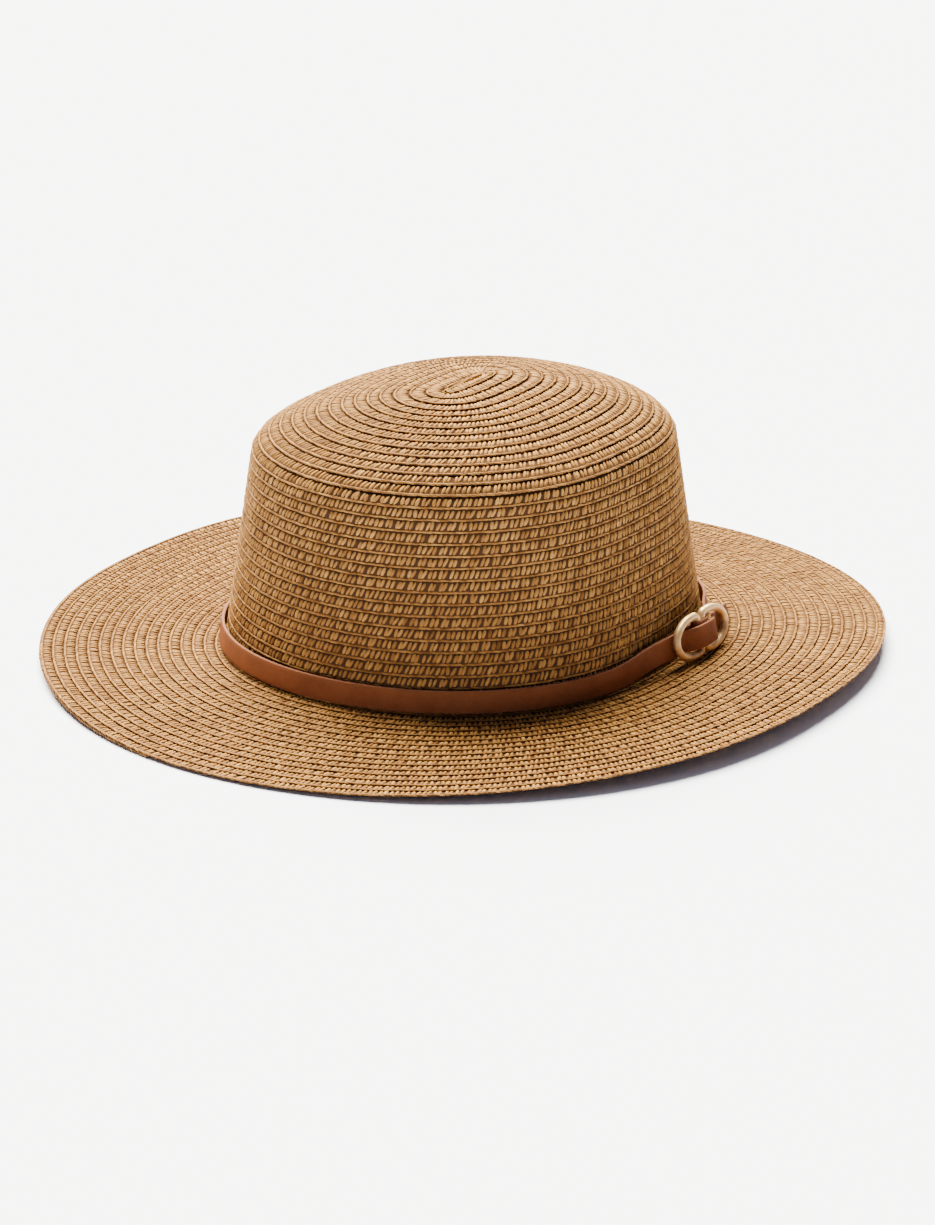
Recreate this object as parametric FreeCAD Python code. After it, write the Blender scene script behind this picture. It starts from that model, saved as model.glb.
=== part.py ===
import FreeCAD, Part
import math
import os

# Straw sun hat: an oval, slightly domed crown and a gently curled brim, sewn from one long braid,
# with a ribbon sweatband inside and a leather band that is threaded through two D-rings.
# Units are millimetres. +Z is up, the wearer's front faces -Y and the buckle is on the +X side.
# The origin is the middle of the bounding box, on the plane that the brim's edge rests on.
# Heights named "above the foot" are measured from where the crown's wall meets the brim.

# Driving dimensions: the oval that every braid row is parallel to
CROWN_HALF_WIDTH = 85.5       # half width in X of the crown's outside at its foot
OVAL_FLAT_HALF = 1.5          # semi-axes of the small oval in the middle
OVAL_LONG_HALF = 14.4
MIDDLE_ROW = 60.0             # half width of the row on which curve points are evenly spaced
CURVE_POINTS = 48             # points on each closed curve

# Driving dimensions: the braid
BRAID_THICKNESS = 1.9
ROW_STEP = 0.7                # how far each row's lip stands above the start of the next row
TIP_ROWS = 16
TIP_PITCH = 4.9
TIP_SLOPE = 27.65             # part of the tip's slope that grows evenly from the middle, degrees
TIP_TURN = 53.8               # part of the slope that comes in sharply at the shoulder, degrees
TIP_TURN_POWER = 12.3
WALL_ROWS = 17
WALL_HEIGHT = 74.2            # from the foot to the shoulder
WALL_TAPER = 0.15             # how far the wall leans in for each millimetre of height
BRIM_ROWS = 16
BRIM_WIDTH = 70.5
BRIM_DROP = 1.1               # mean drop of the brim's surface below the foot
BRIM_CURL_INNER = -1.0        # at the crown the sides are this much above the mean, so they start low
BRIM_CURL_OUTER = 3.0         # at the edge the sides are this much above the mean, so they curl up

# Driving dimensions: inside the crown
SWEATBAND_HEIGHT = 28.0
SWEATBAND_THICKNESS = 0.8
SWEATBAND_GAP = 0.8           # between the ribbon and the straw, where the seam threads lie
SWEATBAND_OVERLAP = 9.0       # degrees of the oval that the doubled end covers at the back
SWEATBAND_STEPS = 72          # spaces between the stations along the ribbon
SWEATBAND_TUCK = 0.88         # share of the ribbon's length where it starts to move inwards
SWEATBAND_TUCK_LENGTH = 0.06  # share of the length over which it moves under its first end
HEM_HEIGHT = 2.5              # hem stitches above the sweatband's lower edge
HEM_STITCH = 4.4              # length of one stitch
HEM_FIRST = 3                 # first and last station of the ribbon where it lies single
HEM_LAST = 61
END_STITCHES = 4
END_STITCH_PITCH = 6.0
THREAD = 0.5                  # thickness of every sewing thread
THREAD_GAP = 0.08             # between the seam threads and the straw

# Driving dimensions: the leather band and its buckle
STRAP_HEIGHT = 8.6
STRAP_THICKNESS = 1.2
STRAP_MIDDLE = 5.3            # height of the strap's middle above the foot at the front and back
STRAP_DIP = 2.0               # how much lower it lies at the sides, where the brim starts low
STRAP_GAP = 1.0               # clearance between the strap and the straw
STRAP_LEAN = 8.5              # degrees, follows the wall
STRAP_START = 24              # normal angles between which the strap lies round the crown, degrees
STRAP_END = 348
STRAP_STEP = 4
HIDDEN_END = (-6.0, -2.0, 2.0, 6.0)   # stations of the end that is sewn behind the buckle
BUCKLE_X = 91.0               # middle of the keeper, between the two rings' straight limbs
BUCKLE_Y = 22.5
BUCKLE_RISE = 7.2             # height of the buckle's middle above the foot
BUCKLE_SAG = 0.3              # how far the strap hangs below the middle of the rings
BUCKLE_LEAN = 12.0            # degrees that the buckle's top leans in
WIRE_RADIUS = 1.5
RING_BEND = 7.2               # half height of a ring along the middle of its wire
RING_STRAIGHT = 5.0           # distance from the straight limb where the round side starts
RING_DEPTH = 16.4             # from straight limb to round side, along the middle of the wire
RING_CORNER = 1.9             # bend at each end of the straight limb
LIMB_SPACING = 3.6            # between the straight limbs of the two rings
KEEPER_HEIGHT = 10.6
KEEPER_THICKNESS = 0.7
KEEPER_CORNER = 1.9           # outer bend at the keeper's folds
RUNNING_GAP = 0.15            # clearance of the rings inside the keeper
STRAP_CLEAR = 0.35            # clearance between the strap and the rings' round sides
LAYER_GAP = 0.1               # between two layers of leather or ribbon that lie on each other
TACK_COUNT = 3                # stitches in each row on the hidden end of the strap
TACK_PITCH = 2.6
TACK_STITCH = 1.6

Vector = FreeCAD.Vector
EDGE_DROP = BRIM_DROP + BRIM_CURL_OUTER + BRAID_THICKNESS
FOOT = EDGE_DROP              # height of the foot above the plane that the brim rests on
SHOULDER = CROWN_HALF_WIDTH - WALL_TAPER * WALL_HEIGHT
WALL_LENGTH = math.hypot(1.0, WALL_TAPER)
WALL_NORMAL = (1.0 / WALL_LENGTH, WALL_TAPER / WALL_LENGTH)


def cosd(angle):
    return math.cos(math.radians(angle))


def sind(angle):
    return math.sin(math.radians(angle))


def smooth(share):
    """Ease from 0 to 1 with level ends."""
    share = min(max(share, 0.0), 1.0)
    return share * share * (3 - 2 * share)


# ---------------------------------------------------------------- closed curves round the oval

def oval_point(half_width, angle):
    """Point of the row with this half width, where its outward normal has this angle."""
    reach = math.hypot(OVAL_FLAT_HALF * cosd(angle), OVAL_LONG_HALF * sind(angle))
    offset = half_width - OVAL_FLAT_HALF
    x = offset * cosd(angle) + OVAL_FLAT_HALF ** 2 * cosd(angle) / reach
    y = offset * sind(angle) + OVAL_LONG_HALF ** 2 * sind(angle) / reach
    return x, y


def even_angles(count, half_width, fine=3600):
    """Normal angles of points that are evenly spaced along one row."""
    lengths = [0.0]
    last = oval_point(half_width, 0.0)
    for step in range(1, fine + 1):
        here = oval_point(half_width, 360.0 * step / fine)
        lengths.append(lengths[-1] + math.dist(last, here))
        last = here
    angles = []
    step = 0
    for index in range(count):
        target = lengths[-1] * index / count
        while lengths[step + 1] < target:
            step += 1
        share = (target - lengths[step]) / (lengths[step + 1] - lengths[step])
        angles.append(360.0 * (step + share) / fine)
    return angles


CURVE_ANGLES = even_angles(CURVE_POINTS, MIDDLE_ROW)


def closed_curve(half_width, height):
    """Closed smooth edge; height is a number or a function of the normal angle."""
    points = []
    for angle in CURVE_ANGLES:
        x, y = oval_point(half_width, angle)
        z = height(angle) if callable(height) else height
        points.append(Vector(x, y, z))
    curve = Part.BSplineCurve()
    curve.interpolate(Points=points, PeriodicFlag=True)
    return curve.toShape()


def closed_solid(faces):
    shell = Part.Shell(faces)
    shell.sewShape()
    solid = Part.Solid(Part.Shell(shell.Faces))
    if solid.Volume < 0:
        solid.reverse()
    return solid


def ring_solid(outline):
    """Solid swept round the oval from a closed list of (half width, height) corners."""
    edges = [closed_curve(half_width, height) for half_width, height in outline]
    faces = []
    for index, edge in enumerate(edges):
        faces.append(Part.makeRuledSurface(edge, edges[(index + 1) % len(edges)]))
    return closed_solid(faces)


# ---------------------------------------------------------------- the straw braid

def tip_rows():
    """Half width and height of the tip's surface at the end of each row, from the middle out."""
    slices = 40
    count = TIP_ROWS * slices
    length = TIP_PITCH / slices
    run = [0.0]
    drop = [0.0]
    for step in range(count):
        share = (step + 0.5) / count
        slope = TIP_SLOPE * share + TIP_TURN * share ** TIP_TURN_POWER
        run.append(run[-1] + cosd(slope) * length)
        drop.append(drop[-1] + sind(slope) * length)
    rows = []
    for row in range(TIP_ROWS + 1):
        half_width = SHOULDER - run[-1] + run[row * slices]
        rows.append((half_width, FOOT + WALL_HEIGHT + drop[-1] - drop[row * slices]))
    return rows


def wall_rows():
    """The same for the wall, from the shoulder down to the foot."""
    rows = []
    for row in range(WALL_ROWS + 1):
        height = WALL_HEIGHT * (1 - row / WALL_ROWS)
        rows.append((CROWN_HALF_WIDTH - WALL_TAPER * height, FOOT + height))
    return rows


def row_normal(before, after):
    length = math.hypot(after[0] - before[0], after[1] - before[1])
    return (before[1] - after[1]) / length, (after[0] - before[0]) / length


def stepped_side(rows):
    """Outer side: each row slopes up to a lip that stands over the start of the next row."""
    points = []
    for start, end in zip(rows, rows[1:]):
        normal = row_normal(start, end)
        points.append((start[0] - ROW_STEP * normal[0], start[1] - ROW_STEP * normal[1]))
        points.append(end)
    return points


def inner_point(rows, index, depth=BRAID_THICKNESS):
    """Point at this depth under one row's lip; the tip and the wall share a normal where they meet."""
    normal = row_normal(rows[max(index - 1, 0)], rows[min(index + 1, len(rows) - 1)])
    if abs(rows[index][0] - SHOULDER) < 0.01:
        normal = WALL_NORMAL
    return rows[index][0] - depth * normal[0], rows[index][1] - depth * normal[1]


def crown_tip():
    """Domed oval top: the spiral starts from a straight strip, here the flat middle."""
    rows = tip_rows()
    outline = stepped_side(rows)
    outline += [inner_point(rows, index) for index in range(len(rows) - 1, -1, -1)]
    edges = [closed_curve(half_width, height) for half_width, height in outline]
    faces = [Part.Face(Part.Wire([edges[0]]))]
    for first, second in zip(edges, edges[1:]):
        faces.append(Part.makeRuledSurface(first, second))
    faces.append(Part.Face(Part.Wire([edges[-1]])))
    return closed_solid(faces)


def brim_height(reach, depth=0.0):
    """Height of the brim's surface at this reach from the wall, as a function of the normal angle."""
    share = reach / BRIM_WIDTH
    curl = BRIM_CURL_INNER + (BRIM_CURL_OUTER - BRIM_CURL_INNER) * share
    return lambda angle: FOOT - BRIM_DROP + curl * cosd(2 * angle) - depth


def crown_side():
    """Wall rows; the last one runs down to the brim's seat all round."""
    rows = wall_rows()
    outline = stepped_side(rows)
    foot_inner = inner_point(rows, len(rows) - 1)
    seat = brim_height(0.0, ROW_STEP)
    outline[-1] = (CROWN_HALF_WIDTH, seat)
    outline.append((foot_inner[0], seat))
    outline.append(foot_inner)
    outline += [inner_point(rows, index) for index in range(len(rows) - 5, -1, -4)]
    return ring_solid(outline)


def brim():
    """Flat rows with the same stepped lips, curled up a little at the sides."""
    pitch = BRIM_WIDTH / BRIM_ROWS
    inner = CROWN_HALF_WIDTH - BRAID_THICKNESS
    outline = [(inner, brim_height(0.0, ROW_STEP))]
    for row in range(BRIM_ROWS):
        outline.append((CROWN_HALF_WIDTH + row * pitch, brim_height(row * pitch, ROW_STEP)))
        outline.append((CROWN_HALF_WIDTH + (row + 1) * pitch, brim_height((row + 1) * pitch)))
    for row in range(BRIM_ROWS, 0, -4):
        outline.append((CROWN_HALF_WIDTH + row * pitch, brim_height(row * pitch, BRAID_THICKNESS)))
    outline.append((inner, brim_height(0.0, BRAID_THICKNESS)))
    return ring_solid(outline)


def thread_ring(half_width, height, normal):
    """One turn of the seam thread, lying against the straw's inner side."""
    across = (normal[1], -normal[0])
    corners = []
    for out, along in ((0.0, 0.5), (0.0, -0.5), (-1.0, -0.5), (-1.0, 0.5)):
        shift_x = THREAD * (out * normal[0] + along * across[0])
        shift_z = THREAD * (out * normal[1] + along * across[1])
        if callable(height):
            corners.append((half_width + shift_x, lambda angle, s=shift_z: height(angle) + s))
        else:
            corners.append((half_width + shift_x, height + shift_z))
    return ring_solid(corners)


def crown_threads(rows, first, last):
    """Seam thread at the end of each row, just clear of the straw."""
    rings = []
    for index in range(first, last):
        normal = row_normal(rows[index - 1], rows[index + 1])
        half_width, height = inner_point(rows, index, BRAID_THICKNESS + THREAD_GAP)
        rings.append(thread_ring(half_width, height, normal))
    return Part.makeCompound(rings)


def brim_threads():
    """Seam thread under each brim row; the last rows rest on the floor and have none below them."""
    pitch = BRIM_WIDTH / BRIM_ROWS
    rings = []
    for row in range(1, BRIM_ROWS - 3):
        under = brim_height(row * pitch, BRAID_THICKNESS + THREAD_GAP)
        rings.append(thread_ring(CROWN_HALF_WIDTH + row * pitch, under, (0.0, 1.0)))
    return Part.makeCompound(rings)


# ---------------------------------------------------------------- ribbons: sweatband and leather

class Station:
    """One place along a ribbon: its middle, outward normal in plan, and lean in degrees."""

    def __init__(self, x, y, z, lean):
        self.middle = Vector(x, y, z)
        self.lean = lean
        self.normal = None

    def at(self, out, up):
        face = self.normal * cosd(self.lean) + Vector(0, 0, sind(self.lean))
        rise = Vector(0, 0, cosd(self.lean)) - self.normal * sind(self.lean)
        return self.middle + face * out + rise * up


def set_normals(stations):
    """Outward normals of a path that goes round the crown with the crown on its left."""
    for index, station in enumerate(stations):
        before = stations[max(index - 1, 0)].middle
        after = stations[min(index + 1, len(stations) - 1)].middle
        along = after - before
        along.z = 0
        along.normalize()
        station.normal = Vector(along.y, -along.x, 0)


def ribbon_solid(stations, thickness, height):
    """Strip of even section along a path of stations."""
    corners = ((0.5, -0.5), (0.5, 0.5), (-0.5, 0.5), (-0.5, -0.5))
    edges = []
    for out, up in corners:
        curve = Part.BSplineCurve()
        curve.interpolate(Points=[station.at(out * thickness, up * height) for station in stations])
        edges.append(curve.toShape())
    faces = []
    for index, edge in enumerate(edges):
        faces.append(Part.makeRuledSurface(edge, edges[(index + 1) % len(edges)]))
    for station in (stations[0], stations[-1]):
        points = [station.at(out * thickness, up * height) for out, up in corners]
        faces.append(Part.Face(Part.makePolygon(points + points[:1])))
    return closed_solid(faces)


def stitch(station, out, up, length, upright=False):
    """One visible stitch lying on a ribbon's face, along it or up it."""
    middle = station.at(out, up)
    if upright:
        direction = station.at(0, 1) - station.at(0, 0)
    else:
        direction = Vector(-station.normal.y, station.normal.x, 0)
    return Part.makeCylinder(THREAD / 2, length, middle - direction * (length / 2), direction)


def sweatband_stations():
    """Once round inside the wall from the back, the last stretch doubled inside the first."""
    middle_height = SWEATBAND_HEIGHT / 2
    stations = []
    turn = 360.0 + SWEATBAND_OVERLAP
    depth = BRAID_THICKNESS + SWEATBAND_GAP + SWEATBAND_THICKNESS / 2
    for step in range(SWEATBAND_STEPS + 1):
        share = step / SWEATBAND_STEPS
        angle = 90.0 - SWEATBAND_OVERLAP / 2 + turn * share
        tuck = smooth((share - SWEATBAND_TUCK) / SWEATBAND_TUCK_LENGTH)
        tucked_depth = depth + tuck * (SWEATBAND_THICKNESS + LAYER_GAP)
        half_width = CROWN_HALF_WIDTH - WALL_TAPER * middle_height - tucked_depth
        x, y = oval_point(half_width, angle)
        stations.append(Station(x, y, FOOT + middle_height, math.degrees(math.atan(WALL_TAPER))))
    set_normals(stations)
    return stations


def inner_face(thickness):
    """How far out of a ribbon's middle a thread lies that rests on its inner face."""
    return -thickness / 2 - THREAD / 2 - THREAD_GAP


def hem_stitches():
    """Running stitch along the sweatband's lower edge, one at each station clear of the doubled end."""
    out = inner_face(SWEATBAND_THICKNESS)
    up = HEM_HEIGHT - SWEATBAND_HEIGHT / 2
    single = sweatband_stations()[HEM_FIRST:HEM_LAST + 1]
    return Part.makeCompound([stitch(station, out, up, HEM_STITCH) for station in single])


def end_stitches():
    """Upright row that closes the sweatband's doubled end."""
    station = sweatband_stations()[-2]
    solids = []
    for index in range(END_STITCHES):
        up = (index - (END_STITCHES - 1) / 2) * END_STITCH_PITCH
        solids.append(stitch(station, inner_face(SWEATBAND_THICKNESS), up, HEM_STITCH, upright=True))
    return Part.makeCompound(solids)


# ---------------------------------------------------------------- the leather band and buckle

def buckle_point(along, out, up=0.0):
    """Point of the buckle's own frame: along the band, out from the crown, up the buckle."""
    return Vector(
        BUCKLE_X + out * cosd(BUCKLE_LEAN) - up * sind(BUCKLE_LEAN),
        BUCKLE_Y + along,
        FOOT + BUCKLE_RISE + out * sind(BUCKLE_LEAN) + up * cosd(BUCKLE_LEAN),
    )


# Layers of the buckle, out from the middle of the rings' wire
KEEPER_FACE = WIRE_RADIUS + RUNNING_GAP + KEEPER_THICKNESS
STRAP_OVER = KEEPER_FACE + LAYER_GAP + STRAP_THICKNESS / 2
STRAP_UNDER = -(WIRE_RADIUS + STRAP_CLEAR + STRAP_THICKNESS / 2)
STRAP_END_LAYER = -STRAP_OVER
LIMB = LIMB_SPACING / 2
ROUND_SIDE = LIMB + RING_DEPTH


def buckle_station(along, out):
    point = buckle_point(along, out, -BUCKLE_SAG)
    return Station(point.x, point.y, point.z, BUCKLE_LEAN)


def strap_rise(angle):
    """Height of the strap's middle above the foot, where it lies on the crown."""
    return STRAP_MIDDLE - STRAP_DIP * cosd(angle) ** 2


def strap_stations():
    """The band's path: hidden end, round the back, side and front, through both rings, tail."""
    stations = [buckle_station(along, STRAP_END_LAYER) for along in HIDDEN_END]
    start_rise = stations[-1].middle.z - FOOT
    for angle in range(STRAP_START, STRAP_END + 1, STRAP_STEP):
        wall = CROWN_HALF_WIDTH - WALL_TAPER * strap_rise(angle) + STRAP_GAP + STRAP_THICKNESS / 2
        x, y = oval_point(wall, angle)
        settled = smooth((angle - STRAP_START) / STRAP_START)
        rise = start_rise + (strap_rise(angle) - start_rise) * settled
        stations.append(Station(x, y, FOOT + rise, STRAP_LEAN))
    # From the round side of a ring to the keeper: the strap comes up from under and goes over.
    climb = (
        (ROUND_SIDE, STRAP_UNDER),
        (ROUND_SIDE - 3.6, STRAP_UNDER + 0.2),
        (ROUND_SIDE / 2 + 0.6, 0.35),
        (LIMB + 3.8, STRAP_OVER - 0.35),
        (LIMB + 0.8, STRAP_OVER),
    )
    stations.append(buckle_station(-ROUND_SIDE - 10.0, STRAP_UNDER - 0.9))
    stations.append(buckle_station(-ROUND_SIDE - 4.0, STRAP_UNDER - 0.3))
    stations += [buckle_station(-along, out) for along, out in climb]
    stations += [buckle_station(along, out) for along, out in reversed(climb)]
    stations.append(buckle_station(ROUND_SIDE + 4.0, STRAP_UNDER - 0.5))
    stations.append(buckle_station(ROUND_SIDE + 9.0, STRAP_UNDER - 1.6))
    set_normals(stations)
    return stations


def leather_band():
    return ribbon_solid(strap_stations(), STRAP_THICKNESS, STRAP_HEIGHT)


def buckle_placement(along, out, side):
    """Places a shape whose local X runs away from the keeper, Y up the buckle and Z out."""
    origin = buckle_point(along, out)
    away = Vector(0, side, 0)
    up = buckle_point(0, 0, 1) - buckle_point(0, 0, 0)
    out_axis = away.cross(up)
    return FreeCAD.Placement(origin, FreeCAD.Rotation(away, up, out_axis, "XYZ"))


def d_ring(side):
    """D-shaped wire ring; side is -1 for the front ring and +1 for the rear one."""
    flat = RING_BEND - RING_CORNER
    low_corner = Vector(RING_CORNER, -flat, 0)
    high_corner = Vector(RING_CORNER, flat, 0)

    def arc(centre, radius, start, end):
        middle = (start + end) / 2
        points = [centre + Vector(radius * cosd(a), radius * sind(a), 0) for a in (start, middle, end)]
        return Part.Arc(*points).toShape()

    def line(start, end):
        return Part.LineSegment(start, end).toShape()

    round_centre = Vector(RING_STRAIGHT, 0, 0)
    round_end = Vector(RING_DEPTH, 0, 0)
    round_top = Vector(RING_STRAIGHT, RING_BEND, 0)
    round_side = Part.ArcOfEllipse(Part.Ellipse(round_end, round_top, round_centre),
                                   -math.pi / 2, math.pi / 2).toShape()
    path = Part.Wire([
        line(Vector(0, 0, 0), Vector(0, -flat, 0)),
        arc(low_corner, RING_CORNER, 180, 270),
        line(Vector(RING_CORNER, -RING_BEND, 0), Vector(RING_STRAIGHT, -RING_BEND, 0)),
        round_side,
        line(Vector(RING_STRAIGHT, RING_BEND, 0), Vector(RING_CORNER, RING_BEND, 0)),
        arc(high_corner, RING_CORNER, 90, 180),
        line(Vector(0, flat, 0), Vector(0, 0, 0)),
    ])
    section = Part.Wire([Part.makeCircle(WIRE_RADIUS, Vector(0, 0, 0), Vector(0, -1, 0))])
    ring = path.makePipeShell([section], True, True)
    ring.Placement = buckle_placement(side * LIMB, 0.0, side)
    return ring


def keeper_loop():
    """Leather loop folded round the straight limbs of both rings."""
    inner_depth = WIRE_RADIUS + RUNNING_GAP
    inner_width = LIMB + inner_depth

    def slab(half_width, half_depth, corner, height):
        block = Part.makeBox(2 * half_width, height, 2 * half_depth,
                             Vector(-half_width, -height / 2, -half_depth))
        upright = [edge for edge in block.Edges if abs(edge.tangentAt(0).y) > 0.99]
        return block.makeFillet(corner, upright)

    outer_width = inner_width + KEEPER_THICKNESS
    outer_depth = inner_depth + KEEPER_THICKNESS
    outer = slab(outer_width, outer_depth, KEEPER_CORNER, KEEPER_HEIGHT)
    inner = slab(inner_width, inner_depth, KEEPER_CORNER - KEEPER_THICKNESS, KEEPER_HEIGHT + 1.0)
    loop = outer.cut(inner)
    loop.Placement = buckle_placement(0.0, 0.0, -1)
    return loop


def keeper_stitches():
    """Two short rows of thread on the hidden end of the strap, on the side that faces the crown."""
    solids = []
    for station in strap_stations()[1:3]:
        for index in range(TACK_COUNT):
            up = (index - (TACK_COUNT - 1) / 2) * TACK_PITCH
            solids.append(stitch(station, inner_face(STRAP_THICKNESS), up, TACK_STITCH, upright=True))
    return Part.makeCompound(solids)


def main():
    os.makedirs("parts", exist_ok=True)
    tip = tip_rows()
    wall = wall_rows()
    nodes = {
        "crown_tip": crown_tip(),
        "crown_side": crown_side(),
        "brim": brim(),
        "tip_seam_thread": crown_threads(tip, 1, TIP_ROWS),
        "side_seam_thread": crown_threads(wall, 1, WALL_ROWS),
        "brim_seam_thread": brim_threads(),
        "sweatband": ribbon_solid(sweatband_stations(), SWEATBAND_THICKNESS, SWEATBAND_HEIGHT),
        "sweatband_hem_stitches": hem_stitches(),
        "sweatband_end_stitches": end_stitches(),
        "leather_band": leather_band(),
        "keeper_loop": keeper_loop(),
        "keeper_stitches": keeper_stitches(),
        "ring_front": d_ring(-1),
        "ring_rear": d_ring(1),
    }
    for name, shape in nodes.items():
        box = shape.BoundBox
        print(name, shape.isValid(), len(shape.Solids), round(shape.Volume),
              [round(v, 1) for v in (box.XMin, box.YMin, box.ZMin, box.XMax, box.YMax, box.ZMax)])
        shape.exportStep("parts/" + name + ".step")


main()
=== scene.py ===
import bpy
import math
import numpy as np
from mathutils import Matrix, Vector


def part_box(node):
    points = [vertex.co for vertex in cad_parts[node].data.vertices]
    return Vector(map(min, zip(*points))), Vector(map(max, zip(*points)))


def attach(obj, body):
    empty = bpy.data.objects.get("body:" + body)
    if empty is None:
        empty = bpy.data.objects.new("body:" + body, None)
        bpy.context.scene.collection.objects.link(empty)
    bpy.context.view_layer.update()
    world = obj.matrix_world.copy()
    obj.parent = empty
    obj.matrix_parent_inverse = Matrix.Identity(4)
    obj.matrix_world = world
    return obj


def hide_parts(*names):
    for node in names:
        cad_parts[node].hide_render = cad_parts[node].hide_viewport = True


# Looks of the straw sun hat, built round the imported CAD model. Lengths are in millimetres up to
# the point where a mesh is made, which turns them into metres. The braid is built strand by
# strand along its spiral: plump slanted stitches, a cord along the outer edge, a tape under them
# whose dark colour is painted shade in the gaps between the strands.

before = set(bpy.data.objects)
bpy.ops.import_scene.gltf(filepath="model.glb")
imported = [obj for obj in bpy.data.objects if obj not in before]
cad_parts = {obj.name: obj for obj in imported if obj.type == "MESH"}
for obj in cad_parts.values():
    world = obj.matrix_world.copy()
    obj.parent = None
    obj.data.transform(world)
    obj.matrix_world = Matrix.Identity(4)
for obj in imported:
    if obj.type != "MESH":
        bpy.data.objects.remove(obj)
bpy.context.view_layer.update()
MM = 0.001
rng = np.random.default_rng(7)


def high(node):
    """The highest corner of a node's box."""
    return [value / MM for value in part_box(node)[1]]


# ------------------------------------------------------------------ driving dimensions

FLAT_HALF = 1.5                     # semi-axes of the small oval in the middle of the crown
LONG_HALF = 14.4
HALF_WIDTH = 85.5                   # of the crown's outside at its foot
BRIM_DROP = 1.1                     # mean drop of the brim's surface below FOOT
CURL_INNER = -1.0                   # how far its left and right lie above that mean at the wall
CURL_OUTER = 3.0                    # and at the edge
FOOT = high("brim")[2] - CURL_OUTER + BRIM_DROP
BRIM_WIDTH = high("brim")[0] - HALF_WIDTH
BRIM_ROWS = 16
WALL_ROWS = 17
WALL_HEIGHT = 74.2                  # from the foot to the shoulder
TAPER = 0.15                        # how far the wall leans in for each millimetre of height
FOOT_BLEND = 5.0                    # of the wall, over which it drops to the brim's curled seat
TIP_LENGTH = 78.4                   # on the surface, from the middle strip's edge to the shoulder
TIP_SLOPE = 27.65                   # part of the tip's slope that grows evenly, degrees
TIP_TURN = 53.8                     # part that comes in sharply at the shoulder, degrees
TIP_TURN_POWER = 12.3
MIDDLE_HALF = 2.4                   # half width of the middle strip
STEP = 0.7                          # how far a lip stands over the start of the next row
THICKNESS = 1.9                     # of the straw

SHOULDER = HALF_WIDTH - TAPER * WALL_HEIGHT


def smooth(value, low, high_end):
    """0 up to low, 1 from high_end on, and a smooth step between them."""
    share = np.clip((value - low) / (high_end - low), 0, 1)
    return share * share * (3 - 2 * share)


def oval(half_width, phi):
    """Plan point of the row with this half width where its outward normal has this angle."""
    c, s = np.cos(phi), np.sin(phi)
    reach = np.hypot(FLAT_HALF * c, LONG_HALF * s)
    offset = half_width - FLAT_HALF
    return offset * c + FLAT_HALF ** 2 * c / reach, offset * s + LONG_HALF ** 2 * s / reach


def bend_radius(half_width, phi):
    """Radius of that row's bend there."""
    c, s = np.cos(phi), np.sin(phi)
    own = (FLAT_HALF * LONG_HALF) ** 2 / np.hypot(FLAT_HALF * c, LONG_HALF * s) ** 3
    return np.maximum(half_width - FLAT_HALF + own, 0.8)


# ------------------------------------------------------------------ surfaces the braid lies on

class Crown:
    """Tip and wall; s runs along the surface from the middle, over the shoulder, to the foot."""

    def __init__(self):
        step = 0.2
        share = (np.arange(0, TIP_LENGTH, step) + step / 2) / TIP_LENGTH
        slope = np.radians(TIP_SLOPE * share + TIP_TURN * share ** TIP_TURN_POWER)
        run = np.concatenate([[0], np.cumsum(np.cos(slope) * step)])
        drop = np.concatenate([[0], np.cumsum(np.sin(slope) * step)])
        s = MIDDLE_HALF + np.arange(len(run)) * step
        r = SHOULDER - run[-1] + run
        z = FOOT + WALL_HEIGHT + drop[-1] - drop
        wall_r = np.linspace(SHOULDER, HALF_WIDTH, 40)[1:]
        wall_z = FOOT + (HALF_WIDTH - wall_r) / TAPER
        wall_s = s[-1] + (wall_r - SHOULDER) * math.hypot(1, 1 / TAPER)
        self.end = float(wall_s[-1])
        self.shoulder = float(s[-1])
        self.s = np.concatenate([[-4, 0], s, wall_s])
        self.r = np.concatenate([[-4, 0], r, wall_r])
        self.z = np.concatenate([[z[0] + 0.1, z[0] + 0.1], z, wall_z])
        dr, dz = np.gradient(self.r, self.s), np.gradient(self.z, self.s)
        length = np.hypot(dr, dz)
        self.nr, self.nz = -dz / length, dr / length

    def at(self, s, phi, out):
        nr, nz = np.interp(s, self.s, self.nr), np.interp(s, self.s, self.nz)
        x, y = oval(np.interp(s, self.s, self.r) + out * nr, phi)
        seat = STEP + BRIM_DROP - CURL_INNER * np.cos(2 * phi)
        z = np.interp(s, self.s, self.z) - seat * smooth(s, self.end - FOOT_BLEND, self.end)
        return np.stack([x, y, z + out * nz], -1)

    def half_width(self, s):
        return np.interp(s, self.s, self.r)


class Brim:
    """The brim; s runs outwards from the wall's foot."""

    def at(self, s, phi, out):
        x, y = oval(HALF_WIDTH + s, phi)
        curl = CURL_INNER + (CURL_OUTER - CURL_INNER) * s / BRIM_WIDTH
        return np.stack([x, y, FOOT - BRIM_DROP + curl * np.cos(2 * phi) + out], -1)

    def half_width(self, s):
        return HALF_WIDTH + s


# ------------------------------------------------------------------ meshes

def outward(points, quads, tris):
    """The faces of a closed mesh, turned to look outwards."""
    fans = np.concatenate([quads[:, [0, 1, 2]], quads[:, [0, 2, 3]], tris])
    a, b, c = (points - points.mean(0))[fans].transpose(1, 0, 2)
    if np.sum(a * np.cross(b, c)) < 0:
        return quads[:, ::-1], tris[:, ::-1]
    return quads, tris


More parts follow.
